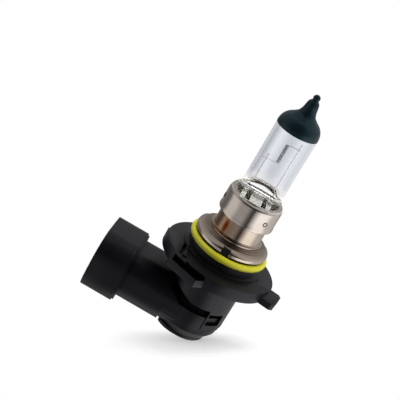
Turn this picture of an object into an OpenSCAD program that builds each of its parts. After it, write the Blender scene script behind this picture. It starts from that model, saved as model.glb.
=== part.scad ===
// Single-filament halogen headlight bulb with a 22 mm keyed cap and a side connector.
// Frame: origin at the centre of the cap ring's underside, +Z along the lamp axis to the tip,
// connector towards -X. Millimetres.

/* [Glass capsule] */
// Outer radius of the glass tube
glass_r = 6.1; // [5.6:0.05:6.6]
// Wall of the glass tube
glass_wall = 0.9; // [0.6:0.1:1.2]
// Height where the dome begins; the black coat starts just above
dome_z = 36.9; // [35:0.1:39]
// Rise of the dome above that height
dome_rise = 5; // [4.5:0.1:5.5]
// Height of the top of the sealed exhaust tip
tip_z = 48.2; // [47.5:0.1:49.5]
// Thickness of the black coat
coat_wall = 0.1; // [0.08:0.02:0.2]

/* [Filament] */
// Height of the filament's centre above the cap ring's underside
light_z = 29.5; // [28:0.1:31.5]
// Length of the filament coil
coil_len = 5.7; // [4.5:0.1:6]
// Outer radius of the filament coil
coil_r = 0.58; // [0.4:0.02:0.7]
// Number of turns in the coil
coil_turns = 13; // [8:1:14]

/* [Metal base] */
// Outer radius of the cap ring
ring_r = 11; // [10.6:0.05:11.4]
// Height of the cap ring at its inner edge
ring_h = 2.6; // [2.4:0.1:3]
// Outer radius of the neck ferrule
neck_r = 7.15; // [6.9:0.05:7.4]
// Outer radius of the collar sleeve
collar_r = 8.2; // [8:0.05:8.6]
// Height of the collar sleeve's rim
collar_top = 15.6; // [15:0.1:16.5]
// Sheet thickness of the metal base
sheet = 0.4; // [0.3:0.05:0.5]

/* [Plastic base] */
// Radius of the barrel that enters the lamp's hole
barrel_r = 11.1; // [10.9:0.05:11.3]
// Radius of the keyed disc
disc_r = 16.8; // [16:0.1:17.5]
// Height of the disc's upper face
disc_top = -5.4; // [-6:0.1:-5]
// Height of the disc's lower face
disc_bottom = -9; // [-9.4:0.1:-8.4]
// Distance of the tabs' outer faces from the axis
tab_reach = 19.4; // [18.8:0.1:20]
// Radius of the body under the disc
body_r = 10.15; // [9.9:0.05:10.4]
// Height of the joint between the base and the connector housing
joint_z = -18.5; // [-19:0.1:-18.2]

/* [Connector] */
// Distance of the connector's mouth from the axis
mouth_x = 31.2; // [30:0.1:33]
// Length of the connector's wide shell
shell_len = 10.4; // [9:0.1:12]
// Width of the shell
shell_w = 22.8; // [21:0.1:24]
// Height of the shell
shell_h = 18.8; // [18:0.1:19.6]
// Height of the connector's axis
connector_z = -23.6; // [-24:0.1:-23]
// Distance between the two blades
blade_pitch = 6.6; // [6:0.1:7]

/* [Hidden] */
$fn = 96;

// Glass
cavity_r = glass_r - glass_wall;
cavity_floor = 19.7;
pinch_t = 3.4;
pinch_top = 17.2;
pinch_bottom = 7.5;
press_top = 19.6;
coat_start = 0.2;
ball_r = 0.92;
dome_power = 2.4;
dome_steps = 12;

// Wires
wire_r = 0.22;
thin_r = 0.11;
coil_x = -0.2;
long_x = 3.1;
short_x = -3.4;
long_top = 34.3;
short_top = 27.8;
foil_low = 9;
foil_high = 14.5;
foil_w = 2.2;
foil_t = 0.12;
lead_out_r = 0.35;

// Metal base
rim_r = 6.8;
shelf_z = 15;
grip_h = 1.9;
neck_low = 2.7;
neck_high = 10.2;
foot_r = 8;
neck_foot = 0.4;
collar_low = 8.2;
weld_z = 11.5;
weld_at = -47;
notch_w = 2.3;

// Plastic base
oring_r = 1;
oring_ring_r = 10.9;
oring_z = -1.65;
boss_r = ring_r - sheet;
groove_top = -0.6;
groove_bottom = -2.75;
back_top = -6.8;
step_left_y = -2.1;
step_right_y = -4.4;
slot_x = -9.98;
slot_w = 1;
slot_depth = 1.2;
seat_r = 12.2;
front_tab_at = -113.3;
front_tab_from = -5.7;
front_tab_to = 4.5;
tab_top = -6.9;
tab_bottom = -9.1;
rim_bottom = -6;
pocket_r = 15;
bore_r = 5.7;
well_r = 8;
well_top = -9.6;
tongue_r = 8.6;
tongue_half = 60.5;
tongue_bottom = -25;
waist_bottom = -21;
waist_r = 8;
ledge_top = -19.3;
ledge_r = 8.8;
window_at = 43.7;
window_w = 5;
window_top = -19.5;
window_bottom = -23.3;
hook_top = -21.3;
skirt_rise = 20;

// Connector
elbow_r = 9.9;
foot_top = -27.6;
cap_top = -30.4;
cap_bottom = -31.5;
cap_r = 7.35;
cap_flat = 6.7;
cap_shift = 1.3;
cavity_in_r = 6.3;
neck_w = 19.3;
neck_h = 14.8;
neck_corner = 6;
tube_end = 8.2;
low_end = 7.4;
blend_end = 2.8;
blend_lift = 0.75;
wall = 1.7;
socket_floor = 17.5;
blade_w = 2.8;
blade_t = 0.8;
blade_tip = 28.5;

// Superellipse dome, from its foot up to the radius stop_r
function dome(a, b, z0, stop_r, steps) =
    [for (i = [0:steps])
        let (r = a - (a - stop_r) * pow(i / steps, 2))
        [r, z0 + b * pow(1 - pow(r / a, dome_power), 1 / dome_power)]];

// Outline of the closed tip above the dome, on a glass grown by g
function stem(g) =
    let (c = tip_z - ball_r)
    concat(
        [[3.1 + g, 41.75], [2.55 + g, 42.25], [2.15 + g, 43], [1.88 + g, 43.9], [1.66 + g, 45.2],
         [1.42 + g, 46]],
        [for (a = [-50:20:70]) [(ball_r + g) * cos(a), c + (ball_r + g) * sin(a)]],
        [[0, tip_z + g]]);

// Outline of the glass or its coat from the dome's foot to the axis
function capsule_top(g) =
    concat(dome(glass_r + g, dome_rise, dome_z, 3.9 + g, dome_steps), stem(g));

// A round wire along a list of points, with a flat polygon of n sides at each point; the
// vector side is never parallel to the wire
function unit(v) = v / norm(v);
function direction(p, i) =
    unit(p[min(i + 1, len(p) - 1)] - p[max(i - 1, 0)]);
function wire_ring(c, d, r, n, side) =
    let (u = unit(cross(d, side)),
         v = cross(d, u))
    [for (k = [0:n - 1]) c + r * (cos(360 * k / n) * u + sin(360 * k / n) * v)];

module wire(p, r, n, side) {
    points = [for (i = [0:len(p) - 1]) each wire_ring(p[i], direction(p, i), r, n, side)];
    last = (len(p) - 1) * n;
    polyhedron(points, concat(
        [[for (k = [0:n - 1]) n - 1 - k]],
        [for (i = [0:len(p) - 2], k = [0:n - 1])
            [i * n + k, i * n + (k + 1) % n, (i + 1) * n + (k + 1) % n, (i + 1) * n + k]],
        [[for (k = [0:n - 1]) last + k]]), convexity = 10);
}

// A flat ring or tube from z0 up to z1
module tube(r_out, r_in, z0, z1) {
    translate([0, 0, z0]) difference() {
        cylinder(r = r_out, h = z1 - z0);
        translate([0, 0, -1]) cylinder(r = r_in, h = z1 - z0 + 2);
    }
}

module disc(r, z0, z1) {
    translate([0, 0, z0]) cylinder(r = r, h = z1 - z0);
}

// A rectangle with round corners, centred
module round_rect(w, h, r) {
    square([w - 2 * r, h], center = true);
    square([w, h - 2 * r], center = true);
    for (x = [-1, 1], y = [-1, 1])
        translate([x * (w / 2 - r), y * (h / 2 - r)]) circle(r);
}

// A bar of round-cornered section along -X, from x0 to x1 measured from the axis
module bar(x0, x1, w, h, r) {
    translate([-x1, 0, connector_z]) rotate([90, 0, 90])
        linear_extrude(x1 - x0) round_rect(w, h, r);
}

// A wedge of space about the axis, half_angle to each side of the direction at
module wedge(at, half_angle, z0, z1, reach = 40) {
    rotate([0, 0, at]) translate([0, 0, z0]) linear_extrude(z1 - z0)
        polygon([[0, 0], [reach * cos(half_angle), -reach * sin(half_angle)],
                 [reach * 1.2, 0], [reach * cos(half_angle), reach * sin(half_angle)]]);
}

module glass_envelope() {
    half = pinch_t / 2;
    wide = glass_r + 0.2;
    color([0.86, 0.89, 0.93, 0.35]) difference() {
        intersection() {
            rotate_extrude() polygon(concat(
                [[0, pinch_bottom], [glass_r, pinch_bottom]], capsule_top(0)));
            rotate([90, 0, 90]) linear_extrude(30, center = true) polygon([
                [-half, pinch_bottom - 1], [half, pinch_bottom - 1], [half, pinch_top],
                [wide, press_top], [wide, tip_z + 1], [-wide, tip_z + 1],
                [-wide, press_top], [-half, pinch_top]]);
        }
        rotate_extrude() polygon(concat(
            [[0, cavity_floor], [cavity_r - 1.2, cavity_floor], [cavity_r, cavity_floor + 1.2]],
            dome(cavity_r, dome_rise - 1.3, dome_z - 0.1, 0, dome_steps)));
        for (x = [short_x, long_x])
            translate([x, 0, foil_high]) cylinder(r = wire_r, h = 6, $fn = 32);
        for (x = [short_x, long_x])
            foil(x);
        for (x = [short_x, long_x])
            translate([x, 0, pinch_bottom - 1])
                cylinder(r = lead_out_r, h = foil_low - pinch_bottom + 1, $fn = 32);
    }
}

module tip_coating() {
    inner = capsule_top(0);
    outer = capsule_top(coat_wall);
    color([0.05, 0.11, 0.14]) intersection() {
        rotate_extrude() polygon(concat(
            outer, [for (i = [len(inner) - 1:-1:0]) inner[i]]));
        disc(glass_r + 1, dome_z + coat_start, tip_z + 1);
    }
}

module filament() {
    low = light_z - coil_len / 2;
    pitch = coil_len / coil_turns;
    mid_r = coil_r - thin_r;
    sides = 12;
    coil = [for (i = [0:coil_turns * sides])
        let (a = 360 * i / sides)
        [coil_x + mid_r * cos(a), mid_r * sin(a), low + pitch * i / sides]];
    color([0.45, 0.45, 0.47]) wire(concat(
        [[short_x - 1, 0, low - 0.5], [short_x + 0.1, wire_r + thin_r, low - 0.4],
         [short_x + 1.4, 0.2, low - 0.3], [coil_x - mid_r - 0.5, -mid_r, low - 0.2],
         [coil_x, -mid_r - 0.1, low - 0.12], [coil_x + mid_r * 0.8, -mid_r * 0.7, low - 0.05]],
        coil,
        [[coil_x + mid_r * 0.9, mid_r * 0.6, light_z + coil_len / 2 + 0.06],
         [long_x - 1.4, 0.3, light_z + coil_len / 2 + 0.25],
         [long_x, wire_r + thin_r, light_z + coil_len / 2 + 0.4],
         [long_x + 0.5, wire_r, light_z + coil_len / 2 + 0.45]]), thin_r, 6, [0, 0, 1]);
}

module support(x, top) {
    translate([x, 0, foil_high]) cylinder(r = wire_r, h = top - foil_high, $fn = 32);
}

module lead_wire_long() {
    color([0.5, 0.5, 0.52]) support(long_x, long_top);
}

module lead_wire_short() {
    color([0.5, 0.5, 0.52]) support(short_x, short_top);
}

// A molybdenum foil, which carries the current through the pinched glass
module foil(x) {
    translate([x - foil_w / 2, -foil_t / 2, foil_low])
        cube([foil_w, foil_t, foil_high - foil_low]);
}

module foil_long() {
    color([0.7, 0.69, 0.66]) foil(long_x);
}

module foil_short() {
    color([0.7, 0.69, 0.66]) foil(short_x);
}

// An outer lead from the pinch down to a terminal's weld tab at y
module outer_lead(x, y) {
    color([0.72, 0.71, 0.69]) wire(
        [[x, 0, foil_low], [x, 0, 2.5], [x, 0, -2], [x * 0.97, y * 0.1, -4], [x * 0.8, y * 0.45, -7],
         [x * 0.7, y * 0.8, -10], [x * 0.66, y, -12.5], [x * 0.66, y, -16.5]],
        lead_out_r - 0.02, 10, [0, 1, 0]);
}

module outer_lead_long() {
    outer_lead(long_x, blade_pitch / 2);
}

module outer_lead_short() {
    outer_lead(short_x, -blade_pitch / 2);
}

// Spring clamp: a slotted cup whose fingers grip the flat press of the glass
module pinch_clamp() {
    cup_r = collar_r - sheet;
    color([0.66, 0.64, 0.61]) {
        difference() {
            rotate_extrude() polygon([
                [cup_r - sheet, shelf_z - 4], [cup_r, shelf_z - 4], [cup_r, shelf_z - 1],
                [cup_r - 0.6, shelf_z + sheet], [1, shelf_z + sheet], [1, shelf_z],
                [cup_r - 0.8, shelf_z], [cup_r - sheet, shelf_z - 1.2]]);
            translate([-glass_r - 0.1, -pinch_t / 2, shelf_z - 1])
                cube([2 * glass_r + 0.2, pinch_t, 3]);
            for (a = [30, 62, 118, 150, 210, 242, 298, 330])
                rotate([0, 0, a]) translate([4.2, -0.8, shelf_z - 0.5]) cube([2.6, 1.6, 2]);
        }
        for (side = [-1, 1], x = [-4, 0, 4])
            translate([x, side * (pinch_t / 2 + sheet / 2), shelf_z + grip_h / 2])
                cube([x == 0 ? 3.6 : 1.4, sheet, grip_h], center = true);
    }
}

// Collar sleeve: rolled rim above, bead at its lower edge
module collar_sleeve() {
    r = collar_r;
    t = sheet;
    low = collar_low;
    top = collar_top;
    color([0.72, 0.69, 0.65]) difference() {
        rotate_extrude() polygon([
            [neck_r, low], [r - 0.15, low], [r + 0.08, low + 0.12], [r + 0.15, low + 0.45],
            [r + 0.1, low + 0.9], [r, low + 1.4], [r, top - 1.8], [r - 0.13, top - 1.05],
            [r - 0.45, top - 0.35], [r - 0.85, top], [rim_r + 0.15, top], [rim_r, top - 0.2],
            [rim_r, top - 0.4], [r - 1.05, top - 0.42], [r - 0.72, top - 0.8],
            [r - t - 0.1, top - 1.4], [r - t, top - 1.9], [r - t, low + 0.7], [neck_r, low + t]]);
        rotate([0, 0, weld_at]) translate([r, 0, weld_z]) rotate([0, 90, 0])
            tube(0.62, 0.38, -0.12, 1);
    }
}

// Neck ferrule, which the collar slides on before it is welded
module neck_ferrule() {
    color([0.68, 0.64, 0.6]) rotate_extrude() polygon([
        [neck_r - sheet, neck_low], [neck_r - sheet, neck_high], [neck_r, neck_high],
        [neck_r, neck_low + 0.75], [neck_r + 0.25, neck_low + 0.48],
        [foot_r, neck_low + neck_foot], [foot_r, neck_low]]);
}

// Cap ring: the metal ring that locates the bulb in the lamp's hole
module cap_ring() {
    color([0.7, 0.66, 0.62]) difference() {
        rotate_extrude() polygon([
            [ring_r - sheet, 0], [ring_r, 0], [ring_r, 0.75], [ring_r - 0.14, 1.1],
            [ring_r - 0.5, 1.4], [ring_r - 1, 1.72], [ring_r - 1.35, 1.95],
            [ring_r - 1.6, ring_h - 0.6], [ring_r - 1.8, ring_h - 0.62], [ring_r - 1.95, ring_h - 0.3],
            [ring_r - 2.2, ring_h - 0.26], [ring_r - 2.4, ring_h - 0.32], [ring_r - 2.55, ring_h],
            [foot_r, ring_h + 0.02], [foot_r, neck_low], [neck_r - sheet, neck_low],
            [neck_r - sheet, 2.1], [ring_r - 2.5, 2.1], [ring_r - 1.9, 1.6],
            [ring_r - 1, 1.35], [ring_r - sheet - 0.1, 1]]);
        for (a = [-91, 29, 149])
            rotate([0, 0, a]) translate([ring_r - 1.25, -notch_w / 2, -1])
                cube([3, notch_w, ring_h + 1]);
    }
}

// Insulating spacer that keeps the two outer leads apart
module lead_spacer() {
    color([0.86, 0.84, 0.78]) difference() {
        disc(neck_r - sheet, 4, 5.6);
        for (x = [short_x, long_x])
            translate([x, 0, 3]) cylinder(r = lead_out_r + 0.05, h = 4, $fn = 32);
    }
}

module oring_seal() {
    color([0.78, 0.77, 0.16]) translate([0, 0, oring_z]) rotate_extrude()
        translate([oring_ring_r, 0]) circle(oring_r, $fn = 48);
}

// One locking tab: a straight outer face at reach, from t0 to t1 across
module tab(at, t0, t1, reach, z0, z1, corner = 1.2) {
    rotate([0, 0, at]) translate([0, 0, z0]) linear_extrude(z1 - z0)
        polygon([[10, t0], [reach - corner, t0], [reach, t0 + corner],
                 [reach, t1 - corner], [reach - corner, t1], [10, t1]]);
}

// Pocket behind the front tab's face, open above and on the left
module tab_pocket(reach) {
    polygon([[pocket_r, front_tab_from - 1], [reach, front_tab_from - 1], [reach, front_tab_to - 0.25],
             [pocket_r, front_tab_to + 1]]);
}

// Front tab: its right end slants
module front_tab() {
    reach = tab_reach - 0.25;
    rotate([0, 0, front_tab_at]) difference() {
        translate([0, 0, tab_bottom]) linear_extrude(tab_top - tab_bottom)
            polygon([[8, front_tab_from], [reach - 0.3, front_tab_from],
                     [reach, front_tab_from + 0.3], [reach, front_tab_to],
                     [reach - 3.2, front_tab_to + 1.1], [8, front_tab_to + 1.1]]);
        translate([0, 0, tab_bottom + 0.5]) linear_extrude(4) tab_pocket(reach - 0.5);
    }
}

// Keyed disc with its three tabs, stepped down on its back half
module keyed_disc() {
    difference() {
        union() {
            disc(disc_r, disc_bottom, disc_top);
            // the rim stands out a little more on the connector side
            intersection() {
                translate([-0.2, -0.5, 0]) disc(disc_r + 0.15, disc_bottom, disc_top);
                translate([-30, -30, disc_bottom - 1]) cube([22, 30 + step_left_y, 10]);
            }
        }
        difference() {
            union() {
                translate([-30, step_left_y, back_top]) cube([30, 50, 5]);
                translate([-1, step_right_y, back_top]) cube([30, 50, 5]);
            }
            disc(seat_r, back_top - 1, disc_top + 2);
        }
        translate([slot_x - slot_w, -13, disc_top - slot_depth]) cube([slot_w, 8, 3]);
        // only the rim's top runs on above the front tab's pocket
        rotate([0, 0, front_tab_at]) translate([0, 0, disc_bottom - 1])
            linear_extrude(rim_bottom - disc_bottom + 1) intersection() {
                tab_pocket(disc_r + 3);
                translate([0, front_tab_from]) square([30, 20]);
            }
    }
    front_tab();
    tab(-9.8, -5.6, 1.9, tab_reach + 0.8, -8.9, tab_top, 0.9);
    tab(105, -4.6, 4.6, tab_reach, tab_bottom, tab_top, 0.8);
}

// Snap windows in the tongue, to each side of the +X direction
module snap_windows() {
    for (s = [-1, 1])
        rotate([0, 0, s * window_at]) translate([tongue_r - 1, -window_w / 2, window_bottom])
            cube([4, window_w, window_top - window_bottom]);
}

module base_housing() {
    color([0.13, 0.13, 0.14]) difference() {
        union() {
            rotate_extrude() polygon([
                [0, 2.08], [ring_r - 2.51, 2.08], [ring_r - 1.91, 1.58], [ring_r - 1.01, 1.33],
                [ring_r - sheet - 0.12, 0.97], [boss_r - 0.02, 0.1], [boss_r - 0.02, groove_top],
                [oring_ring_r - oring_r, groove_top], [oring_ring_r - oring_r, groove_bottom],
                [barrel_r, groove_bottom], [barrel_r, disc_top + 0.7], [seat_r, disc_top + 0.3],
                [seat_r, disc_bottom + 1], [0, disc_bottom + 1]]);
            keyed_disc();
            difference() {
                disc(body_r, joint_z, disc_bottom + 0.5);
                // the skirt's edge rises on the connector side
                translate([-1, -20, joint_z]) rotate([0, skirt_rise, 0])
                    translate([-30, 0, -10]) cube([30, 40, 10]);
            }
            intersection() {
                tube(body_r, tongue_r, tongue_bottom, joint_z + 1);
                wedge(0, tongue_half, tongue_bottom - 1, joint_z + 2);
            }
            // low tapered rib between the barrel and the rim
            translate([slot_x, -13.3, disc_top - 0.2]) linear_extrude(0.7)
                polygon([[0, 0], [1.3, 0], [0.4, 7], [0, 7]]);
        }
        disc(well_r, joint_z - 10, well_top);
        disc(bore_r, well_top - 1, 5);
        snap_windows();
    }
}

// Potting compound that seals the two leads in the base
module potting_seal() {
    color([0.25, 0.24, 0.22]) difference() {
        disc(bore_r, -9, -6);
        for (s = [-1, 1])
            hull() for (p = [[0.87, 0.25, -5.4], [0.72, 0.75, -9.6]])
                translate([(s > 0 ? long_x : short_x) * p[0], s * blade_pitch / 2 * p[1], p[2]])
                    sphere(r = lead_out_r + 0.35, $fn = 16);
    }
}

// Elbow housing with the connector shell
module connector_housing() {
    color([0.14, 0.14, 0.15]) difference() {
        union() {
            disc(well_r - 0.05, joint_z - 1, -12);
            disc(waist_r, waist_bottom - 1, joint_z);
            disc(ledge_r, waist_bottom - 1, ledge_top);
            disc(elbow_r, -26, waist_bottom);
            disc(elbow_r - 0.4, foot_top, -26);
            translate([0, 0, cap_top])
                cylinder(r1 = cap_r + 0.1, r2 = elbow_r - 0.4, h = foot_top - cap_top);
            bar(tube_end, mouth_x - shell_len + 1, neck_w, neck_h, neck_corner);
            // the tube's end slants back under the skirt
            intersection() {
                bar(blend_end, tube_end + 1, neck_w, neck_h, neck_corner);
                rotate([90, 0, 0]) linear_extrude(30, center = true) polygon([
                    [-tube_end - 1, waist_bottom], [-tube_end - 1, joint_z - 0.1],
                    [-low_end, joint_z - 0.1], [-3.6, waist_bottom]]);
            }
            // below the waist the tube runs on and melts into the elbow
            intersection() {
                union() {
                    bar(low_end, tube_end + 1, neck_w, neck_h, neck_corner);
                    intersection() {
                        bar(blend_end, tube_end, neck_w, neck_h, neck_corner);
                        translate([0, 0, blend_lift])
                            bar(blend_end, tube_end, neck_w, neck_h, neck_corner);
                    }
                }
                disc(20, waist_bottom - 20, waist_bottom);
            }
            bar(mouth_x - shell_len + 0.5, mouth_x, shell_w, shell_h, 7.4);
            bar(mouth_x - shell_len, mouth_x - shell_len + 1, shell_w - 1, shell_h - 1, 7);
        }
        // recess that the base's tongue fills
        intersection() {
            tube(elbow_r + 2, tongue_r - 0.08, tongue_bottom, joint_z + 1);
            wedge(0, tongue_half + 0.15, tongue_bottom - 1, joint_z + 2);
        }
        // pockets above the snap hooks
        for (s = [-1, 1])
            rotate([0, 0, s * window_at]) translate([tongue_r - 1.4, -window_w / 2, hook_top])
                cube([4, window_w, window_top - hook_top]);
        disc(cavity_in_r, cap_top - 1, -11);
        bar(mouth_x - shell_len + 1.2, mouth_x + 1, shell_w - 2 * wall, shell_h - 2 * wall, 6);
        bar(socket_floor, mouth_x, neck_w - 2 * wall, neck_h - 2 * wall, 4.6);
        for (s = [-1, 1])
            translate([-20, s * blade_pitch / 2 - blade_w / 2, connector_z - blade_t / 2])
                cube([20, blade_w, blade_t]);
    }
    color([0.14, 0.14, 0.15]) {
        // snap hooks that sit in the base's windows
        for (s = [-1, 1])
            rotate([0, 0, s * window_at]) translate([tongue_r - 1.5, 0.3 - window_w / 2, -22.85])
                cube([2.1, window_w - 0.6, hook_top + 22.85]);
        // keying ribs inside the shell
        for (y = [-4.4, 4.4])
            translate([-mouth_x + 1.5, y - 0.5, connector_z + shell_h / 2 - wall - 1.2])
                cube([8, 1, 1.4]);
    }
}

// Terminal: a blade in the connector, bent up to a weld tab for the lead
module terminal(x, y) {
    t = blade_t / 2;
    color([0.76, 0.73, 0.62]) translate([0, y + blade_w / 2, connector_z]) rotate([90, 0, 0])
        linear_extrude(blade_w) polygon([
            [-blade_tip, -t / 2], [-blade_tip + 1, -t], [x, -t], [x, 9.6],
            [x - blade_t, 9.6], [x - blade_t, t], [-blade_tip + 1, t], [-blade_tip, t / 2]]);
}

module terminal_long() {
    terminal(long_x * 0.66 - lead_out_r + 0.02, blade_pitch / 2);
}

module terminal_short() {
    terminal(short_x * 0.66 - lead_out_r + 0.02, -blade_pitch / 2);
}

// Plug that closes the elbow from below
module rear_cap() {
    color([0.12, 0.12, 0.13]) {
        translate([0, 0, cap_bottom]) linear_extrude(cap_top - cap_bottom) intersection() {
            union() {
                circle(cap_r);
                translate([-cap_shift, -cap_r]) square([cap_shift, 2 * cap_r]);
                translate([-cap_shift, 0]) circle(cap_r);
            }
            translate([-cap_flat, -10]) square(20);
        }
        tube(cavity_in_r - 0.05, cavity_in_r - 1.3, cap_top - 1, cap_top + 2);
    }
}

glass_envelope();
tip_coating();
filament();
lead_wire_long();
lead_wire_short();
foil_long();
foil_short();
outer_lead_long();
outer_lead_short();
pinch_clamp();
collar_sleeve();
neck_ferrule();
cap_ring();
lead_spacer();
oring_seal();
base_housing();
potting_seal();
connector_housing();
terminal_long();
terminal_short();
rear_cap();
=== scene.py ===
"""Looks of the halogen headlight bulb: finer meshes, finishes, stage, light and camera."""
import math

import bmesh
import bpy
from mathutils import Matrix, Vector


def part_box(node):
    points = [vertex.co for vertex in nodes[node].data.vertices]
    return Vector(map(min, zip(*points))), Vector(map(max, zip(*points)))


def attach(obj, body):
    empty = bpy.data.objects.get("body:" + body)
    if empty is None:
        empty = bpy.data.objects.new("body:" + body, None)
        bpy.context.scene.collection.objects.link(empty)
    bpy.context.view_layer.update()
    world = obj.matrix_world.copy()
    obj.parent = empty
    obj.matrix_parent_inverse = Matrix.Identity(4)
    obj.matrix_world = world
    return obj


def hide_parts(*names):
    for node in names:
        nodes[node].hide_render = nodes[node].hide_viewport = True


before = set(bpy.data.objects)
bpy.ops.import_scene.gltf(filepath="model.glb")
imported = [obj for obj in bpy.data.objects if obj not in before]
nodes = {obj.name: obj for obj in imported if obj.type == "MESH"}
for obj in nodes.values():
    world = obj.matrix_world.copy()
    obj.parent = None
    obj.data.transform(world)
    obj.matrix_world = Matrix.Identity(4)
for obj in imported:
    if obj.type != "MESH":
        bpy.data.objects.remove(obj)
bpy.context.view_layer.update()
BODY = "root"
MM = 0.001


# ---------------------------------------------------------------- sizes read from the frame, in mm
def node_box(node):
    low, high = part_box(node)
    return low / MM, high / MM


glass_low, glass_high = node_box("glass_envelope")
coat_low, coat_high = node_box("tip_coating")
ring_high = node_box("cap_ring")[1]
neck_low, neck_high = node_box("neck_ferrule")
collar_low, collar_high = node_box("collar_sleeve")
seal_low, seal_high = node_box("oring_seal")
long_low, long_high = node_box("lead_wire_long")
short_low, short_high = node_box("lead_wire_short")

GLASS_R = glass_high.x
COAT_R = coat_high.x
TIP_Z = glass_high.z
COAT_Z = coat_low.z
DOME_Z = COAT_Z - 0.2
RING_R = ring_high.x
COLLAR_TOP = collar_high.z
COLLAR_R = collar_high.x - 0.15
WIRE_R = (long_high.x - long_low.x) / 2
LONG_X = (long_high.x + long_low.x) / 2
SHORT_X = (short_high.x + short_low.x) / 2

# Glass: its cavity, and the press that closes its lower end
CAVITY_R = GLASS_R - 0.9
CAVITY_FOOT = 23.0
FLOOR_Z = 18.9
SIDE_DROP = 1.6
DOME_RISE = 5.0
DOME_POWER = 2.4
BALL_R = 0.92
PRESS_TOP = 19.6
PINCH_TOP = 17.3
PINCH_BOTTOM = glass_low.z
PINCH_HALF = 1.7
JAW_SPREAD = GLASS_R + 0.3 - PINCH_HALF
JAW_POWER = 14

# Metal sheet of the collar and its weld marks
SHEET = 0.4
WELD_ANGLES = (-49, 71, 191)
WELD_Z = 11.5
WELD_R = 0.6


# ---------------------------------------------------------------- mesh helpers
def add_object(name, data):
    """A new object in the scene."""
    added = bpy.data.objects.new(name, data)
    bpy.context.scene.collection.objects.link(added)
    return added


def finish_object(name, mesh, sharp_degrees=32):
    """A new piece from a mesh, smooth apart from its sharp edges."""
    mesh.validate()
    mesh.shade_smooth()
    mesh.set_sharp_from_angle(angle=math.radians(sharp_degrees))
    return add_object(name, mesh)


def mesh_of(name, work):
    """A mesh from a bmesh, which is freed."""
    mesh = bpy.data.meshes.new(name)
    work.to_mesh(mesh)
    work.free()
    return mesh


def joined(name, meshes):
    """One mesh from several."""
    work = bmesh.new()
    for mesh in meshes:
        work.from_mesh(mesh)
    return mesh_of(name, work)


def mesh_from(name, verts, faces):
    """A mesh in metres from points in mm."""
    mesh = bpy.data.meshes.new(name)
    mesh.from_pydata([(x * MM, y * MM, z * MM) for x, y, z in verts], [], faces)
    work = bmesh.new()
    work.from_mesh(mesh)
    bmesh.ops.remove_doubles(work, verts=work.verts, dist=1e-7)
    bmesh.ops.recalc_face_normals(work, faces=work.faces)
    work.to_mesh(mesh)
    work.free()
    return mesh


def fillet(points, steps=6):
    """Rounds the corners of a closed outline of (r, z, corner radius) points."""
    out = []
    count = len(points)
    for i, (r, z, radius) in enumerate(points):
        here = Vector((r, z))
        before = Vector(points[i - 1][:2]) - here
        after = Vector(points[(i + 1) % count][:2]) - here
        if radius <= 0 or before.length < 1e-9 or after.length < 1e-9:
            out.append((r, z))
            continue
        half = before.angle(after) / 2
        if half > math.radians(89):
            out.append((r, z))
            continue
        reach = min(radius / math.tan(half), before.length * 0.49, after.length * 0.49)
        start = here + before.normalized() * reach
        end = here + after.normalized() * reach
        for k in range(steps + 1):
            t = k / steps
            bend = (1 - t) ** 2 * start + 2 * t * (1 - t) * here + t ** 2 * end
            out.append((bend.x, bend.y))
    return out


def lathe(name, outline, segments=192, closed=True):
    """Turns an outline of (r, z) points about the lamp axis."""
    verts, faces = [], []
    count = len(outline)
    for i in range(segments):
        a = 2 * math.pi * i / segments
        for r, z in outline:
            verts.append((r * math.cos(a), r * math.sin(a), z))
    for i in range(segments):
        j = (i + 1) % segments
        for k in range(count if closed else count - 1):
            m = (k + 1) % count
            faces.append((i * count + k, j * count + k, j * count + m, i * count + m))
    return mesh_from(name, verts, faces)


def tube_along(path, radius, sides=10, close_ends=True):
    """Points and faces of a round wire along a path, in mm, without twist."""
    verts, faces = [], []
    points = [Vector(p) for p in path]
    side = None
    for i, p in enumerate(points):
        ahead = points[min(i + 1, len(points) - 1)] - points[max(i - 1, 0)]
        ahead.normalize()
        if side is None:
            side = ahead.orthogonal().normalized()
        side = (side - ahead * side.dot(ahead)).normalized()
        across = ahead.cross(side)
        for k in range(sides):
            a = 2 * math.pi * k / sides
            verts.append(tuple(p + radius * (math.cos(a) * side + math.sin(a) * across)))
    for i in range(len(points) - 1):
        for k in range(sides):
            m = (k + 1) % sides
            faces.append((i * sides + k, i * sides + m, (i + 1) * sides + m, (i + 1) * sides + k))
    if close_ends:
        faces.append(tuple(range(sides))[::-1])
        last = (len(points) - 1) * sides
        faces.append(tuple(last + k for k in range(sides)))
    return verts, faces


def smooth_path(points, steps=8):
    """A Catmull-Rom curve through points."""
    pts = [Vector(p) for p in points]
    pts = [2 * pts[0] - pts[1]] + pts + [2 * pts[-1] - pts[-2]]
    out = []
    for i in range(1, len(pts) - 2):
        a, b, c, d = pts[i - 1:i + 3]
        for k in range(steps):
            t = k / steps
            out.append(0.5 * (2 * b + (c - a) * t + (2 * a - 5 * b + 4 * c - d) * t ** 2
                              + (3 * b - a - 3 * c + d) * t ** 3))
    out.append(pts[-2])
    return out


def applied(piece):
    """Replaces a piece's mesh by the result of its modifiers."""
    graph = bpy.context.evaluated_depsgraph_get()
    result = bpy.data.meshes.new_from_object(piece.evaluated_get(graph))
    piece.modifiers.clear()
    piece.data = result
    return piece


def bevelled(piece, width, degrees=32, segments=3):
    """Rounds a piece's edges, width in mm."""
    bevel = piece.modifiers.new("edges", "BEVEL")
    bevel.width = width * MM
    bevel.segments = segments
    bevel.limit_method = "ANGLE"
    bevel.angle_limit = math.radians(degrees)
    bevel.miter_outer = "MITER_ARC"
    bevel.harden_normals = False
    bevel.use_clamp_overlap = True
    applied(piece)
    piece.data.shade_smooth()
    piece.data.set_sharp_from_angle(angle=math.radians(50))
    return piece


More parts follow.
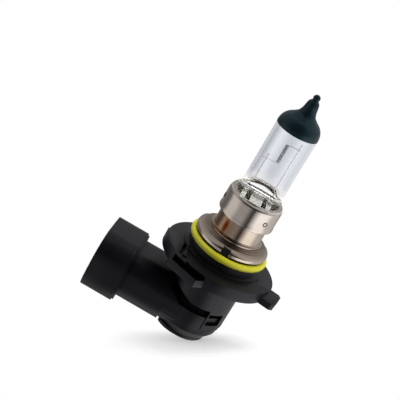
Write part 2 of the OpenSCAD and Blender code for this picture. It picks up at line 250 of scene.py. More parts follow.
def cut(piece, cutters):
    """Subtracts cutter objects from a piece and removes them."""
    for cutter in cutters:
        boolean = piece.modifiers.new("cut", "BOOLEAN")
        boolean.operation = "DIFFERENCE"
        boolean.solver = "EXACT"
        boolean.object = cutter
        applied(piece)
        bpy.data.objects.remove(cutter)
    return piece


def block(low, high, turn=0):
    """A cutter box in mm, turned about the lamp axis by degrees."""
    work = bmesh.new()
    bmesh.ops.create_cube(work, size=1)
    size = Vector(high) - Vector(low)
    middle = (Vector(high) + Vector(low)) / 2
    place = Matrix.Rotation(math.radians(turn), 4, "Z") @ Matrix.Translation(middle * MM)
    work.transform(place @ Matrix.Diagonal((*(size * MM), 1)))
    return add_object("cutter", mesh_of("cutter", work))


def refined(node, name, width, segments=3):
    """A copy of a CAD node with merged faces and rounded edges."""
    work = bmesh.new()
    work.from_mesh(nodes[node].data)
    bmesh.ops.remove_doubles(work, verts=work.verts, dist=2e-6)
    bmesh.ops.dissolve_limit(work, angle_limit=math.radians(0.6), verts=work.verts,
                             edges=work.edges, use_dissolve_boundaries=False)
    mesh = mesh_of(name, work)
    if "custom_normal" in mesh.attributes:
        mesh.attributes.remove(mesh.attributes["custom_normal"])
    mesh.materials.clear()
    return bevelled(finish_object(name, mesh), width, segments=segments)


def place(piece, node, slot, material):
    """Gives a piece its body and its material, and hides the CAD node it stands for; slot is not used."""
    piece.data.materials.clear()
    piece.data.materials.append(material)
    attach(piece, BODY)
    if node:
        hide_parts(node)
    return piece


# ---------------------------------------------------------------- material helpers
class Graph:
    """A shader node tree and short calls for its nodes."""

    def __init__(self, tree):
        self.tree = tree

    def node(self, kind, operation=None):
        node = self.tree.nodes.new("ShaderNode" + kind)
        if operation:
            node.operation = operation
        return node

    def link(self, source, target):
        self.tree.links.new(source, target)

    def axes(self, vector):
        """The x, y and z of a vector."""
        node = self.node("SeparateXYZ")
        self.link(vector, node.inputs["Vector"])
        return node.outputs["X"], node.outputs["Y"], node.outputs["Z"]

    def ramp(self, value, low, high, low_to=0.0, high_to=1.0, blend="LINEAR"):
        """Maps low..high to low_to..high_to, and holds the ends."""
        node = self.node("MapRange")
        node.interpolation_type = blend
        node.inputs["From Min"].default_value = low
        node.inputs["From Max"].default_value = high
        node.inputs["To Min"].default_value = low_to
        node.inputs["To Max"].default_value = high_to
        self.link(value, node.inputs["Value"])
        return node.outputs["Result"]

    def mix(self, factor, first, second):
        """Colours from first to second, each a tuple or another node's output."""
        node = self.node("Mix")
        node.data_type = "RGBA"
        self.link(factor, node.inputs["Factor"])
        for socket, colour in ((node.inputs["A"], first), (node.inputs["B"], second)):
            if isinstance(colour, tuple):
                socket.default_value = (*colour, 1)
            else:
                self.link(colour, socket)
        return node.outputs["Result"]

    def math(self, kind, first, second=0.0):
        """A sum on numbers or other nodes' outputs; second is left over where kind needs one."""
        node = self.node("Math", kind)
        for socket, value in zip(node.inputs, (first, second)):
            if isinstance(value, (int, float)):
                socket.default_value = value
            else:
                self.link(value, socket)
        return node.outputs["Value"]


class Finish(Graph):
    """A Principled material and short calls for what varies it."""

    def __init__(self, name, colour, roughness, metallic=0.0):
        self.material = bpy.data.materials.new(name)
        self.material.use_nodes = True
        super().__init__(self.material.node_tree)
        self.shader = self.tree.nodes["Principled BSDF"]
        self.shader.inputs["Base Color"].default_value = (*colour, 1)
        self.shader.inputs["Roughness"].default_value = roughness
        self.shader.inputs["Metallic"].default_value = metallic

    def place(self):
        """Where a point of the surface lies, in metres."""
        return self.node("TexCoord").outputs["Object"]

    def vary(self, name, source):
        """Drives one of the shader's inputs."""
        self.link(source, self.shader.inputs[name])

    def stretched(self, scale):
        mapping = self.node("Mapping")
        mapping.inputs["Scale"].default_value = scale
        self.link(self.place(), mapping.inputs["Vector"])
        return mapping.outputs["Vector"]

    def noise(self, scale, detail=3.0, stretch=None):
        texture = self.node("TexNoise")
        texture.inputs["Scale"].default_value = scale
        texture.inputs["Detail"].default_value = detail
        texture.inputs["Roughness"].default_value = 0.55
        self.link(self.stretched(stretch) if stretch else self.place(), texture.inputs["Vector"])
        return texture.outputs["Fac"]

    def soft_edge(self, distance, edge, low_to=0.0, high_to=1.0):
        """Maps a distance in metres over an edge, (from, to) in mm."""
        return self.ramp(distance, edge[0] * MM, edge[1] * MM, low_to, high_to)

    def mottle(self, noise, first, second):
        """Clouds the colour between two tones."""
        return self.mix(self.ramp(noise, 0.3, 0.7), first, second)

    def bump(self, height, strength, distance_mm):
        """Bumps on top of those added before."""
        node = self.node("Bump")
        node.inputs["Strength"].default_value = strength
        node.inputs["Distance"].default_value = distance_mm * MM
        self.link(height, node.inputs["Height"])
        normal = self.shader.inputs["Normal"]
        if normal.is_linked:
            self.link(normal.links[0].from_socket, node.inputs["Normal"])
        self.link(node.outputs["Normal"], normal)

    def open_sky(self, reach_mm, low, high):
        """How open a place is, 0 deep in a gap and 1 in the open."""
        sky = self.node("AmbientOcclusion")
        sky.samples = 8
        sky.inputs["Distance"].default_value = reach_mm * MM
        return self.ramp(sky.outputs["AO"], low, high)

    def length(self, vector):
        node = self.node("VectorMath", "LENGTH")
        self.link(vector, node.inputs[0])
        return node.outputs["Value"]

    def spot(self, centre, size, soft=0.5):
        """1 inside an ellipsoid about a point in mm, falling to 0 outside it."""
        shift = self.node("VectorMath", "SUBTRACT")
        shift.inputs[1].default_value = tuple(c * MM for c in centre)
        self.link(self.place(), shift.inputs[0])
        scale = self.node("VectorMath", "MULTIPLY")
        scale.inputs[1].default_value = tuple(1 / (s * MM) for s in size)
        self.link(shift.outputs["Vector"], scale.inputs[0])
        return self.ramp(self.length(scale.outputs["Vector"]), 1 - soft, 1 + soft, 1.0, 0.0)


def on_surface(radius, degrees, z):
    """A point in mm at an angle about the lamp axis."""
    a = math.radians(degrees)
    return radius * math.cos(a), radius * math.sin(a), z


# The painted shade in the deep gap between base and elbow, an ellipsoid: (centre, size)
PAINTED_RECESS_SHADE = ((0.5, -8.3, -19.75), (4.9, 3, 1.05))
# Heights between which the painted shade in the crevices fades away downwards, so that the floor adds none
FOOT_LOW = -28
FOOT_HIGH = -26.5


def black_plastic():
    finish = Finish("black_plastic", (0.005, 0.005, 0.007), 0.36)
    # Painted shade: by ambient occlusion the gloss is tinted towards black in crevices, gaps and under
    # overhangs
    foot = finish.soft_edge(finish.axes(finish.place())[2], (FOOT_LOW, FOOT_HIGH), 1.0, 0.0)
    open_part = finish.math("MAXIMUM", finish.open_sky(6, 0.42, 0.88), foot)
    # the ellipsoid about the recess is painted shade too: the gloss goes black there
    painted_light_level = finish.math("MULTIPLY", open_part, finish.math("SUBTRACT", 1.0, finish.spot(*PAINTED_RECESS_SHADE, soft=0.1)))
    finish.vary("Specular Tint", finish.mix(painted_light_level, (0, 0, 0), (0.93, 0.9, 1.0)))
    finish.shader.inputs["Specular IOR Level"].default_value = 0.34
    finish.vary("Base Color", finish.mottle(finish.noise(120, 2), (0.004, 0.004, 0.0058),
                                            (0.0065, 0.0064, 0.0085)))
    grain = finish.noise(5200, 3)
    finish.vary("Roughness", finish.ramp(grain, 0.25, 0.75, 0.32, 0.44))
    finish.bump(grain, 0.35, 0.03)
    finish.bump(finish.noise(600, 2), 0.15, 0.05)
    return finish.material


def stainless(name, tint, heat=(), matt_inside=None):
    """Drawn stainless sheet; heat lists ((centre, size), colour) stains; matt_inside is a dull
    wall (radius, low z, high z), in mm."""
    finish = Finish(name, tint, 0.13, 1.0)
    lines = finish.noise(1, 3, stretch=(2600, 2600, 120))
    cloud = finish.noise(260, 3)
    colour = finish.mottle(cloud, tint, tuple(c * f for c, f in zip(tint, (0.93, 0.89, 0.85))))
    for spot, stain in heat:
        colour = finish.mix(finish.spot(*spot), colour, stain)
    finish.vary("Base Color", colour)
    finish.vary("Roughness", finish.ramp(lines, 0.3, 0.7, 0.1, 0.17))
    if matt_inside:
        radius, low, top = matt_inside
        z = finish.axes(finish.place())[2]
        outside = finish.soft_edge(finish.length(finish.stretched((1, 1, 0))),
                                   (radius - 0.05, radius + 0.05), 0.1, 1.0)
        above = finish.soft_edge(z, (top - 0.1, top), 0.1, 1.0)
        below = finish.soft_edge(z, (low - 0.3, low), 1.0, 0.1)
        finish.vary("Metallic", finish.math("MAXIMUM", outside, finish.math("MAXIMUM", above, below)))
    finish.bump(lines, 0.04, 0.004)
    finish.bump(cloud, 0.05, 0.02)
    return finish.material


# Painted reflections and shade on the round glass, 0 dark and 1 bright: a wave across it paints the
# studio's bands, with a faint bright streak half a pitch to either side, a painted darker side (from x, to
# x, how much darker) and painted dark edges
PAINTED_BAND_PITCH = 6.4
PAINTED_BAND_MIDDLE = 0.82
PAINTED_BAND_DEPTH = 0.15
PAINTED_DARK_SIDE = (-5.5, -3.2, 0.45)
PAINTED_DARK_EDGE = (5.8, 6.1)
# The painted dark line at the top of the press, painted shade where the glass turns into the jaws, each as
# (from, to) of a
# soft edge: how far inside the jaws, half the width across, and distance from the axis
PAINTED_LINE_INSIDE = (0.95, 0.85)
PAINTED_LINE_HALF = (4.2, 4.9)
PAINTED_LINE_OUT = (3.6, 3.9)
# The frosted band on the press: its lower and its upper soft edge, and its transmission
FROST_BOTTOM = (16.1, 16.5)
FROST_TOP = (17.3, 17.6)
FROST_CLEARNESS = 0.45


def painted_glass_reflections(finish, x):
    """How bright the painted reflections and shade make the round glass at a distance across it, from 0 to
    1.
    """
    wave = finish.math("COSINE", finish.math("MULTIPLY", x, 2 * math.pi / (PAINTED_BAND_PITCH * MM)))
    tone = finish.math("SUBTRACT", PAINTED_BAND_MIDDLE, finish.math("MULTIPLY", wave, PAINTED_BAND_DEPTH))
    outer, inner, drop = PAINTED_DARK_SIDE
    tone = finish.math("SUBTRACT", tone, finish.soft_edge(x, (outer, inner), drop, 0.0))
    edge = finish.soft_edge(finish.math("ABSOLUTE", x), PAINTED_DARK_EDGE, 1.0, 0.1)
    return finish.math("MULTIPLY", tone, edge)


def painted_press_line(finish, x, y, z):
    """1 on the painted dark line at the top of the press, painted shade on the side towards -Y only, and 0
    elsewhere.
    """
    out = finish.math("MULTIPLY", y, -1)
    # the jaw's slope, carried on to twice its height
    jaw = finish.soft_edge(z, (PINCH_TOP, 2 * PRESS_TOP - PINCH_TOP),
                           PINCH_HALF * MM, (PINCH_HALF + 2 * JAW_SPREAD) * MM)
    near_jaw = finish.soft_edge(finish.math("SUBTRACT", jaw, out), PAINTED_LINE_INSIDE)
    middle = finish.soft_edge(finish.math("ABSOLUTE", x), PAINTED_LINE_HALF, 1.0, 0.0)
    outside = finish.soft_edge(out, PAINTED_LINE_OUT)
    return finish.math("MULTIPLY", finish.math("MULTIPLY", near_jaw, middle), outside)


def clear_glass():
    finish = Finish("clear_glass", (0.95, 0.97, 1.0), 0.0)
    finish.shader.inputs["IOR"].default_value = 1.12
    x, y, z = finish.axes(finish.place())
    drawn = finish.ramp(finish.noise(1, 2, stretch=(900, 900, 25)), 0.2, 0.8, -0.12 * MM, 0.12 * MM)
    # painted reflections and shade: the round glass's colour carries the studio's bands, a darker side and
    # dark edges
    tone = painted_glass_reflections(finish, finish.math("ADD", x, drawn))
    painted_round_glass = finish.mix(tone, (0.465, 0.48, 0.512), (0.885, 0.9, 0.932))
    foot = finish.soft_edge(z, (PRESS_TOP, PRESS_TOP + 1), 1.0, 0.0)
    body = finish.mix(foot, painted_round_glass, (0.93, 0.925, 0.9))
    # painted shade: the dark line at the top of the press
    finish.vary("Base Color", finish.mix(painted_press_line(finish, x, y, z), body, (0.02, 0.02, 0.02)))
    above = finish.soft_edge(z, FROST_TOP, FROST_CLEARNESS, 1.0)
    below = finish.soft_edge(z, FROST_BOTTOM, 1.0, FROST_CLEARNESS)
    finish.vary("Transmission Weight", finish.math("MAXIMUM", above, below))
    return finish.material


def black_coat():
    finish = Finish("black_coat", (0.006, 0.014, 0.019), 0.34)
    finish.shader.inputs["Specular IOR Level"].default_value = 0.45
    finish.shader.inputs["Specular Tint"].default_value = (0.5, 0.9, 1.0, 1)
    cloud = finish.noise(300, 3)
    finish.vary("Base Color", finish.mottle(cloud, (0.003, 0.009, 0.014), (0.005, 0.014, 0.02)))
    finish.vary("Roughness", finish.ramp(finish.noise(900, 3), 0.3, 0.7, 0.3, 0.42))
    finish.bump(finish.noise(1500, 3), 0.2, 0.02)
    finish.bump(cloud, 0.15, 0.06)
    return finish.material


def yellow_seal():
    finish = Finish("yellow_seal", (0.6, 0.58, 0.05), 0.42)
    finish.vary("Base Color", finish.mottle(finish.noise(200, 2), (0.68, 0.64, 0.02), (0.76, 0.72, 0.04)))
    finish.vary("Roughness", finish.ramp(finish.noise(2500, 3), 0.3, 0.7, 0.36, 0.5))
    finish.bump(finish.noise(3000, 3), 0.12, 0.015)
    return finish.material


def metal(name, colour, roughness, metallic=1.0):
    """Plain worked metal; less metallic where it would turn too dark inside the bulb."""
    finish = Finish(name, colour, roughness, metallic)
    grain = finish.noise(2500, 3)
    finish.vary("Base Color", finish.mottle(grain, colour, tuple(c * 0.82 for c in colour)))
    finish.vary("Roughness", finish.ramp(grain, 0.3, 0.7, roughness - 0.05, roughness + 0.08))
    finish.bump(grain, 0.15, 0.01)
    return finish.material


def dull(name, colour):
    """Fired or cast material."""
    finish = Finish(name, colour, 0.6)
    grain = finish.noise(1800, 4)
    finish.vary("Base Color", finish.mottle(grain, colour, tuple(c * 0.8 for c in colour)))
    finish.vary("Roughness", finish.ramp(grain, 0.3, 0.7, 0.52, 0.68))
    finish.bump(grain, 0.2, 0.03)
    return finish.material


# ---------------------------------------------------------------- glass capsule
def dome(radius, rise, z0, stop, steps=18):
    """Superellipse dome from its foot up to the radius stop."""
    out = []
    for i in range(steps + 1):
        r = radius - (radius - stop) * (i / steps) ** 2
        out.append((r, z0 + rise * max(0, 1 - (r / radius) ** DOME_POWER) ** (1 / DOME_POWER)))
    return out


def capsule_top(grow):
    """Outline of dome, stem and ball, on a glass grown by grow."""
    ball = BALL_R + grow
    ball_z = TIP_Z - BALL_R
    shoulder = dome(GLASS_R + grow, DOME_RISE, DOME_Z, 3.9 + grow)
    stem = smooth_path([(*shoulder[-1], 0), (3.1 + grow, 41.75, 0), (2.55 + grow, 42.25, 0),
                        (2.15 + grow, 43, 0), (1.88 + grow, 43.9, 0), (1.66 + grow, 45.2, 0),
                        (1.4 + grow, 46.05, 0), (0.86 + grow, 46.6, 0)], 5)
    arc = [(ball * math.cos(math.radians(a)), ball_z + ball * math.sin(math.radians(a)))
           for a in range(-36, 90, 9)]
    return shoulder + [(p.x, p.y) for p in stem[1:]] + arc + [(0.0, TIP_Z + grow)]


def pressed(verts):
    """Squeezes the lower end of the glass flat between two slanting jaws."""
    out = []
    for x, y, z in verts:
        t = min(1, max(0, (z - PINCH_TOP) / (PRESS_TOP - PINCH_TOP)))
        soft = 1 + (abs(y) / (PINCH_HALF + JAW_SPREAD * t)) ** JAW_POWER
        out.append((x, y if z > PRESS_TOP + 0.2 else y / soft ** (1 / JAW_POWER), z))
    return out


def wedged(verts):
    """Narrows the foot of the cavity to an arched line between the jaws."""
    out = []
    for x, y, z in verts:
        t = min(1, max(0, (z - FLOOR_Z) / (CAVITY_FOOT - FLOOR_Z)))
        drop = SIDE_DROP * min(1, (x / CAVITY_R) ** 2) * (1 - t) ** 2
        out.append((x, y * (0.1 + 0.9 * math.sin(t * math.pi / 2)), z - drop))
    return out


def squeezed(mesh, squeeze):
    """Moves a mesh's points by a squeeze given in mm."""
    for v, p in zip(mesh.vertices, squeeze([tuple(v.co / MM) for v in mesh.vertices])):
        v.co = Vector(p) * MM


def make_glass(material):
    steps = 48
    fine_height = 22 - PINCH_BOTTOM
    lower = [(GLASS_R, PINCH_BOTTOM + fine_height * i / steps) for i in range(1, steps + 1)]
    outer = [(0, PINCH_BOTTOM), (GLASS_R - 0.5, PINCH_BOTTOM)] + lower + capsule_top(0)
    wall = [(CAVITY_R, FLOOR_Z + (CAVITY_FOOT - FLOOR_Z) * i / 12) for i in range(1, 13)]
    floor = [(CAVITY_R * i / 8, FLOOR_Z) for i in range(8)] + [(CAVITY_R - 0.15, FLOOR_Z + 0.05)]
    inner = floor + wall + dome(CAVITY_R, DOME_RISE - 1.3, DOME_Z - 0.1, 0)
    shell = lathe("glass_shell", outer, 160, closed=False)
    squeezed(shell, pressed)
    hollow = lathe("glass_hollow", inner, 160, closed=False)
    hollow.flip_normals()
    squeezed(hollow, wedged)
    mesh = joined("glass_bulb", [shell, hollow])
    return place(finish_object("glass_bulb", mesh, 28), "glass_envelope", "glass", material)


def make_coat(material):
    outer = capsule_top(COAT_R - GLASS_R)
    inner = capsule_top(0.004)
    outline = [(inner[0][0], COAT_Z + 0.06)] + [(outer[0][0], COAT_Z)] + outer[1:] + inner[:0:-1]
    mesh = lathe("tip_coat", outline, 160, closed=True)
    return place(finish_object("tip_coat", mesh, 60), "tip_coating", "black_coat", material)


# ---------------------------------------------------------------- filament
def make_filament(material):
    turns, wire, mean_r, centre = 22, 0.085, 0.46, -0.2
    low, high = 26.65, 32.35
    steps = 20
    coil = []
    for i in range(turns * steps + 1):
        a = 2 * math.pi * i / steps
        coil.append((centre + mean_r * math.cos(a), mean_r * math.sin(a),
                     low + (high - low) * i / (turns * steps)))
    leg_y = -(WIRE_R + wire)
    low_leg = smooth_path([(SHORT_X - 1, leg_y, low - 0.42), (SHORT_X, leg_y, low - 0.36),
                           (SHORT_X + 1.4, -0.3, low - 0.26), (centre - 1, -0.45, low - 0.12),
                           (centre - 0.2, -mean_r - 0.05, low - 0.05)], 5)
    high_leg = smooth_path([(centre + mean_r + 0.25, 0.1, high + 0.05), (1.1, -0.1, high + 0.14),
                            (LONG_X - 0.8, leg_y, high + 0.25), (LONG_X, leg_y, high + 0.34),
                            (LONG_X + 0.5, leg_y, high + 0.36)], 5)
    verts, faces = tube_along(low_leg + [Vector(p) for p in coil] + high_leg, wire, 8)
    mesh = mesh_from("filament_coil", verts, faces)
    return place(finish_object("filament_coil", mesh, 60), "filament", "tungsten", material)


# ---------------------------------------------------------------- metal base
def make_collar(material):
    r, low, top = COLLAR_R, collar_low.z, COLLAR_TOP
    outline = fillet([
        (7.17, low, 0.05), (r - 0.15, low, 0.12), (r + 0.09, low + 0.12, 0.2), (r + 0.15, low + 0.45, 0.4),
        (r + 0.1, low + 0.9, 0.5), (r, low + 1.4, 0.6), (r, top - 1.8, 0.6), (r - 0.13, top - 1.05, 0.9),
        (r - 0.45, top - 0.35, 0.6), (r - 0.85, top, 0.3), (6.95, top, 0.12), (6.8, top - 0.2, 0.1),
        (6.8, top - 0.4, 0.05), (r - 1.05, top - 0.42, 0.2), (r - 0.72, top - 0.8, 0.4),
        (r - 0.5, top - 1.4, 0.5), (r - SHEET, top - 1.9, 0.4), (r - SHEET, low + 0.7, 0.2),
        (7.17, low + 0.4, 0.05)], 5)
    mesh = lathe("collar", outline, 224)
    return place(finish_object("collar", mesh), "collar_sleeve", "stainless", material)


def make_neck(material):
    low, high = neck_low.z, neck_high.z
    outline = fillet([
        (6.75, low, 0), (6.75, high, 0.1), (7.15, high, 0.1), (7.15, low + 0.75, 0.4),
        (7.4, low + 0.48, 0.3), (8.0, low + 0.38, 0.12), (8.0, low, 0)], 6)
    mesh = lathe("neck_tube", outline, 224)
    return place(finish_object("neck_tube", mesh), "neck_ferrule", "stainless", material)


def make_cap_ring(material):
    outline = fillet([
        (10.6, 0, 0.05), (RING_R, 0, 0.12), (RING_R, 0.75, 0.3), (10.86, 1.1, 0.3), (10.5, 1.4, 0.4),
        (10, 1.72, 0.4), (9.65, 1.95, 0.15), (9.4, 1.99, 0.1), (9.2, 1.98, 0.12), (9.05, 2.28, 0.12),
        (8.8, 2.34, 0.1), (8.6, 2.28, 0.1), (8.45, 2.58, 0.1), (8.02, 2.62, 0.05), (8.02, 2.7, 0),
        (6.75, 2.7, 0), (6.75, 2.12, 0), (8.5, 2.12, 0.2), (9.1, 1.62, 0.2), (10, 1.36, 0.2),
        (10.5, 1.0, 0.2)], 5)
    piece = finish_object("tab_ring", lathe("tab_ring", outline, 224))
    cut(piece, [block((9.75, -1.15, -1), (13, 1.15, 3.5), a) for a in (-91, 29, 149)])
    bevelled(piece, 0.06, 40, 2)
    return place(piece, "cap_ring", "stainless", material)


def finger(name, path, width, thick, across):
    """A bent strip: path of (distance, z) in mm, swept sideways by width; across turns a
    (distance, sideways, z) into a point."""
    points = smooth_path([(d, 0, z) for d, z in path], 6)
    verts, faces = [], []
    count = len(points)
    for side in (-width / 2, width / 2):
        for offset in (0, thick):
            for i, p in enumerate(points):
                ahead = points[min(i + 1, count - 1)] - points[max(i - 1, 0)]
                normal = Vector((-ahead.z, 0, ahead.x)).normalized()
                q = p + normal * offset
                verts.append(across(q.x, side, q.z))
    rows = [range(i * count, (i + 1) * count) for i in range(4)]
    loop = [rows[0], rows[1], rows[3], rows[2]]
    for a, b in zip(loop, loop[1:] + loop[:1]):
        for i in range(count - 1):
            faces.append((a[i], a[i + 1], b[i + 1], b[i]))
    faces.append(tuple(row[0] for row in loop))
    faces.append(tuple(row[count - 1] for row in loop))
    return finish_object(name, mesh_from(name, verts, faces))


def make_clamp(material):
    """Spring cup: rim inside the collar and strips bent up against the glass press."""
    r = COLLAR_R - SHEET
    shelf = 15.0
    rim = fillet([
        (r - 0.35, shelf - 4, 0), (r, shelf - 4, 0), (r, shelf - 1.1, 0.4), (r - 0.5, shelf + 0.35, 0.4),
        (6.6, shelf + 0.4, 0.1), (6.6, shelf + 0.1, 0.1), (r - 0.7, shelf + 0.05, 0.3),
        (r - 0.35, shelf - 1.2, 0.3)], 5)
    parts = [finish_object("clamp_rim", lathe("clamp_rim", rim, 160))]
    three_strips = [(0, 3.5, 17.0), (-3.9, 1.3, 16.5), (3.8, 1.3, 16.5)]
    wide_strip = [(0, 9.0, 16.4)]
    for way, strips in ((-1, three_strips), (1, wide_strip)):
        for x, width, top in strips:
            def towards_press(d, s, z, way=way, x=x):
                return s + x, way * d, z
            path = [(7.0, shelf + 0.2), (5.2, shelf + 0.25), (3.2, shelf + 0.2),
                    (2.35, shelf + 0.3), (2.05, shelf + 0.8), (1.98, top - 0.5), (2.1, top)]
            parts.append(finger("clamp_finger", path, width, -0.32, towards_press))

        def towards_edge(d, s, z, way=way):
            return way * d, s, z
        edge = [(7.1, shelf + 0.2), (6.75, shelf + 0.3), (6.45, shelf + 0.7), (6.4, shelf + 1.5),
                (6.5, shelf + 1.9)]
        parts.append(finger("clamp_edge", edge, 2.2, -0.26, towards_edge))
    mesh = joined("clamp_cup", [part.data for part in parts])
    for part in parts:
        bpy.data.objects.remove(part)
    piece = bevelled(finish_object("clamp_cup", mesh), 0.05, 40, 2)
    return place(piece, "pinch_clamp", "spring_steel", material)


def make_weld_marks(material):
    """Small burnt rings where the collar is spot-welded to the neck."""
    verts, faces = [], []
    for at in WELD_ANGLES:
        path = []
        for k in range(25):
            a = 2 * math.pi * k / 24
            path.append(on_surface(COLLAR_R, at + math.degrees(WELD_R * math.cos(a) / COLLAR_R),
                                   WELD_Z + WELD_R * math.sin(a)))
        ring_verts, ring_faces = tube_along(path, 0.15, 8, close_ends=False)
        faces += [tuple(i + len(verts) for i in f) for f in ring_faces]
        verts += ring_verts
    mesh = mesh_from("weld_marks", verts, faces)
    return place(finish_object("weld_marks", mesh, 60), None, "stainless", material)


def make_seal(material):
    minor = (seal_high.z - seal_low.z) / 2
    mid_z = (seal_high.z + seal_low.z) / 2
    mean_r = seal_high.x - minor
    outline = [(mean_r + minor * math.cos(2 * math.pi * k / 48),
                mid_z + minor * math.sin(2 * math.pi * k / 48)) for k in range(48)]
    mesh = lathe("seal_ring", outline, 256)
    return place(finish_object("seal_ring", mesh, 60), "oring_seal", "oring", material)


# ---------------------------------------------------------------- stage, light and camera
VIEW_AZIMUTH = 0.46
VIEW_ELEVATION = 23.34
VIEW_DISTANCE = 0.27337
VIEW_ROLL = 29.86
VIEW_TARGET = Vector((-13.27, 0, 5.64)) * MM
SENSOR = 36.0
LENS = 88.43
FLOOR_ELEVATION = 5.5
FLOOR_RADIUS = 0.11
FADE_RADIUS = 0.028
GRAZING = (0.945, 0.97)


def camera_axes():
    """The camera's right, up and backward directions in the row frame."""
    a, e, roll = (math.radians(v) for v in (VIEW_AZIMUTH, VIEW_ELEVATION, VIEW_ROLL))
    back = Vector((math.sin(a) * math.cos(e), -math.cos(a) * math.cos(e), math.sin(e)))
    level = Vector((math.cos(a), math.sin(a), 0))
    upright = back.cross(level)
    right = level * math.cos(roll) + upright * math.sin(roll)
    up = upright * math.cos(roll) - level * math.sin(roll)
    return right, up, back


def frame_from(right, up, back, origin):
    matrix = Matrix((right, up, back)).transposed().to_4x4()
    matrix.translation = origin
    return matrix


def make_camera():
    right, up, back = camera_axes()
    data = bpy.data.cameras.new("camera")
    data.sensor_width = SENSOR
    data.lens = LENS
    data.dof.use_dof = False
    data.clip_start = 0.01
    data.clip_end = 10
    camera = add_object("camera", data)
    camera.matrix_world = frame_from(right, up, back, VIEW_TARGET + back * VIEW_DISTANCE)
    bpy.context.scene.camera = camera


def floor_axes():
    """Right, depth and normal of a level floor under the tilted bulb."""
    right, up, back = camera_axes()
    e = math.radians(FLOOR_ELEVATION)
    normal = up * math.cos(e) + back * math.sin(e)
    return right, normal.cross(right), normal


def floor_finish(centre):
    """White with a little light of its own, clear away from a point, at a grazing angle and
    from below."""
    finish = Finish("floor", (1, 1, 1), 1)
    finish.shader.inputs["Specular IOR Level"].default_value = 0
    finish.shader.inputs["Emission Color"].default_value = (1, 1, 1, 1)
    finish.shader.inputs["Emission Strength"].default_value = 0.36
    geometry = finish.node("NewGeometry")
    spread = finish.node("VectorMath", "DISTANCE")
    spread.inputs[1].default_value = centre
    finish.link(geometry.outputs["Position"], spread.inputs[0])
    fade = finish.ramp(spread.outputs["Value"], 0, FADE_RADIUS)
    grazing = finish.ramp(finish.node("LayerWeight").outputs["Facing"], *GRAZING)
    hidden = finish.math("MAXIMUM", grazing, geometry.outputs["Backfacing"])
    mixed = finish.node("MixShader")
    finish.link(finish.math("MAXIMUM", fade, hidden), mixed.inputs["Fac"])
    finish.link(finish.shader.outputs["BSDF"], mixed.inputs[1])
    finish.link(finish.node("BsdfTransparent").outputs["BSDF"], mixed.inputs[2])
    finish.link(mixed.outputs["Shader"], finish.tree.nodes["Material Output"].inputs["Surface"])
    return finish.material


def make_floor(pieces):
    """A small pale floor that fades out, under the lowest point of the pieces."""
    right, depth, normal = floor_axes()
    points = [v.co for piece in pieces for v in piece.data.vertices]
    lowest = min(points, key=lambda p: p.dot(normal))
    work = bmesh.new()
    bmesh.ops.create_circle(work, cap_ends=True, radius=FLOOR_RADIUS, segments=96)
    work.transform(frame_from(right, depth, normal, lowest))
    floor = add_object("floor", mesh_of("floor", work))
    floor.data.materials.append(floor_finish(lowest + right * MM))
    floor.visible_diffuse = False
    floor.visible_glossy = False


# The studio about the lamp axis: even panels (from, to, light), in degrees from the camera and
# positive to its right, with the light blending from each panel to the next
STUDIO_PANELS = [(-180, -150, 0.28), (-120, -102, 0.17), (-84, -57, 0.74), (-38, -8, 0.4), (12, 18, 0.06),
                 (46, 80, 1.35), (100, 118, 0.7), (170, 180, 0.28)]
# The same above the horizon, dark over the camera
UPPER_PANELS = [(-180, -75, 0.42), (-32, 34, 0.03), (75, 120, 0.55), (170, 180, 0.42)]


def panel_light(sky, turn, panels):
    """Light by azimuth, turn going from 0 to 1."""
    ramp = sky.node("ValToRGB")
    elements = ramp.color_ramp.elements
    while len(elements) > 1:
        elements.remove(elements[-1])
    elements[0].position = 0
    for start, end, light in panels:
        for degrees in (start, end):
            at = (degrees + 180) / 360
            element = elements.new(at) if at > 0 else elements[0]
            element.color = (light, light, light, 1)
    sky.link(turn, ramp.inputs["Fac"])
    return ramp.outputs["Color"]


def make_world():
    """White behind the object; a studio of bright and dark panels for light and gloss."""
    world = bpy.data.worlds.new("studio")
    bpy.context.scene.world = world
    world.use_nodes = True
    world.node_tree.nodes.clear()
    sky = Graph(world.node_tree)
    x, y, z = sky.axes(sky.node("TexCoord").outputs["Generated"])
    azimuth = sky.math("ARCTAN2", x, sky.math("MULTIPLY", y, -1))
    turn = sky.ramp(azimuth, -math.pi, math.pi)
    rise = sky.ramp(z, -0.1, 0.25, blend="SMOOTHSTEP")
    around, above = (panel_light(sky, turn, panels) for panels in (STUDIO_PANELS, UPPER_PANELS))
    studio = sky.node("Background")
    sky.link(sky.mix(rise, around, above), studio.inputs["Color"])
    backdrop = sky.node("Background")
    backdrop.inputs["Color"].default_value = (1, 1, 1, 1)
    rays = sky.node("LightPath").outputs
    seen = sky.math("MAXIMUM", rays["Is Camera Ray"], rays["Is Transmission Ray"])
    mixed = sky.node("MixShader")
    sky.link(seen, mixed.inputs["Fac"])
    sky.link(studio.outputs["Background"], mixed.inputs[1])
    sky.link(backdrop.outputs["Background"], mixed.inputs[2])
    sky.link(mixed.outputs["Shader"], sky.node("OutputWorld").inputs["Surface"])


def make_softbox(name, toward, distance, size, power):
    """A square area light in a direction from the object, in camera terms (right, up, back)."""
    right, up, back = camera_axes()
    direction = (right * toward[0] + up * toward[1] + back * toward[2]).normalized()
    data = bpy.data.lights.new(name, "AREA")
    data.energy = power
    data.size = size
    light = add_object(name, data)
    light.location = direction * distance
    light.visible_glossy = False
    light.rotation_mode = "QUATERNION"
    light.rotation_quaternion = direction.to_track_quat("Z", "Y")


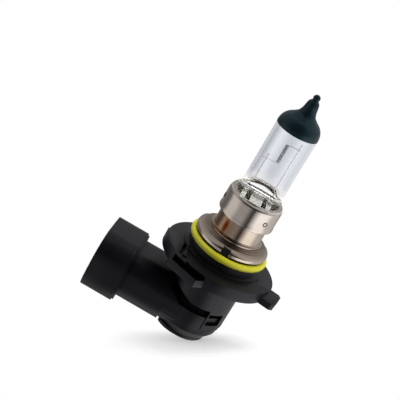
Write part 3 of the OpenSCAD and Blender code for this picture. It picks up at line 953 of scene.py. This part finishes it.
# ---------------------------------------------------------------- everything
steel = stainless("stainless_collar", (0.66, 0.6, 0.55),
                  matt_inside=(COLLAR_R - 0.3, COLLAR_TOP - 2.2, COLLAR_TOP - 0.25))
neck_steel = stainless("stainless_neck", (0.58, 0.5, 0.42), heat=[
    ((on_surface(7.15, -135, 5.0), (5.4, 5.4, 6)), (0.34, 0.21, 0.13)),
    ((on_surface(7.15, -121, 5.4), (0.7, 0.9, 2.4)), (0.12, 0.02, 0.003))])
spring = metal("spring_steel", (0.82, 0.81, 0.77), 0.4, metallic=0.45)
burnt = metal("burnt_steel", (0.32, 0.15, 0.08), 0.5)
plastic = black_plastic()

make_glass(clear_glass()).visible_shadow = False
make_coat(black_coat())
make_filament(metal("tungsten", (0.6, 0.59, 0.6), 0.42))
make_clamp(spring)
make_collar(steel)
make_neck(neck_steel)
make_cap_ring(stainless("stainless_ring", (0.62, 0.53, 0.45), heat=[
    (((0, 0, 2.4), (10.3, 10.3, 1.1)), (0.15, 0.105, 0.075))]))
make_weld_marks(burnt)
make_seal(yellow_seal())
base = place(refined("base_housing", "base_body", 0.06), "base_housing", "black_plastic", plastic)
elbow = place(refined("connector_housing", "elbow_body", 0.09), "connector_housing",
              "black_plastic", plastic)
cap = place(refined("rear_cap", "rear_plug", 0.15), "rear_cap", "black_plastic", plastic)

wire_metal = metal("lead_wire", (0.92, 0.88, 0.88), 0.5, metallic=0.35)
CAD_FINISHES = {
    "lead_wire_long": wire_metal,
    "lead_wire_short": wire_metal,
    "outer_lead_long": wire_metal,
    "outer_lead_short": wire_metal,
    "foil_long": metal("moly_foil", (0.62, 0.6, 0.57), 0.3),
    "foil_short": metal("moly_foil", (0.62, 0.6, 0.57), 0.3),
    "lead_spacer": dull("ceramic", (0.62, 0.58, 0.5)),
    "potting_seal": dull("potting", (0.06, 0.057, 0.054)),
    "terminal_long": metal("tinned_brass", (0.7, 0.66, 0.54), 0.28),
    "terminal_short": metal("tinned_brass", (0.7, 0.66, 0.54), 0.28),
}
for node, material in CAD_FINISHES.items():
    nodes[node].data.materials.clear()
    nodes[node].data.materials.append(material)

make_camera()
make_floor([base, elbow, cap])
make_world()
make_softbox("key", (0.4, 1.0, 0.12), 0.6, 0.42, 2.6)
make_softbox("side", (1.0, 0.25, 0.5), 0.6, 0.3, 1.5)
bpy.context.scene.view_settings.view_transform = "Standard"
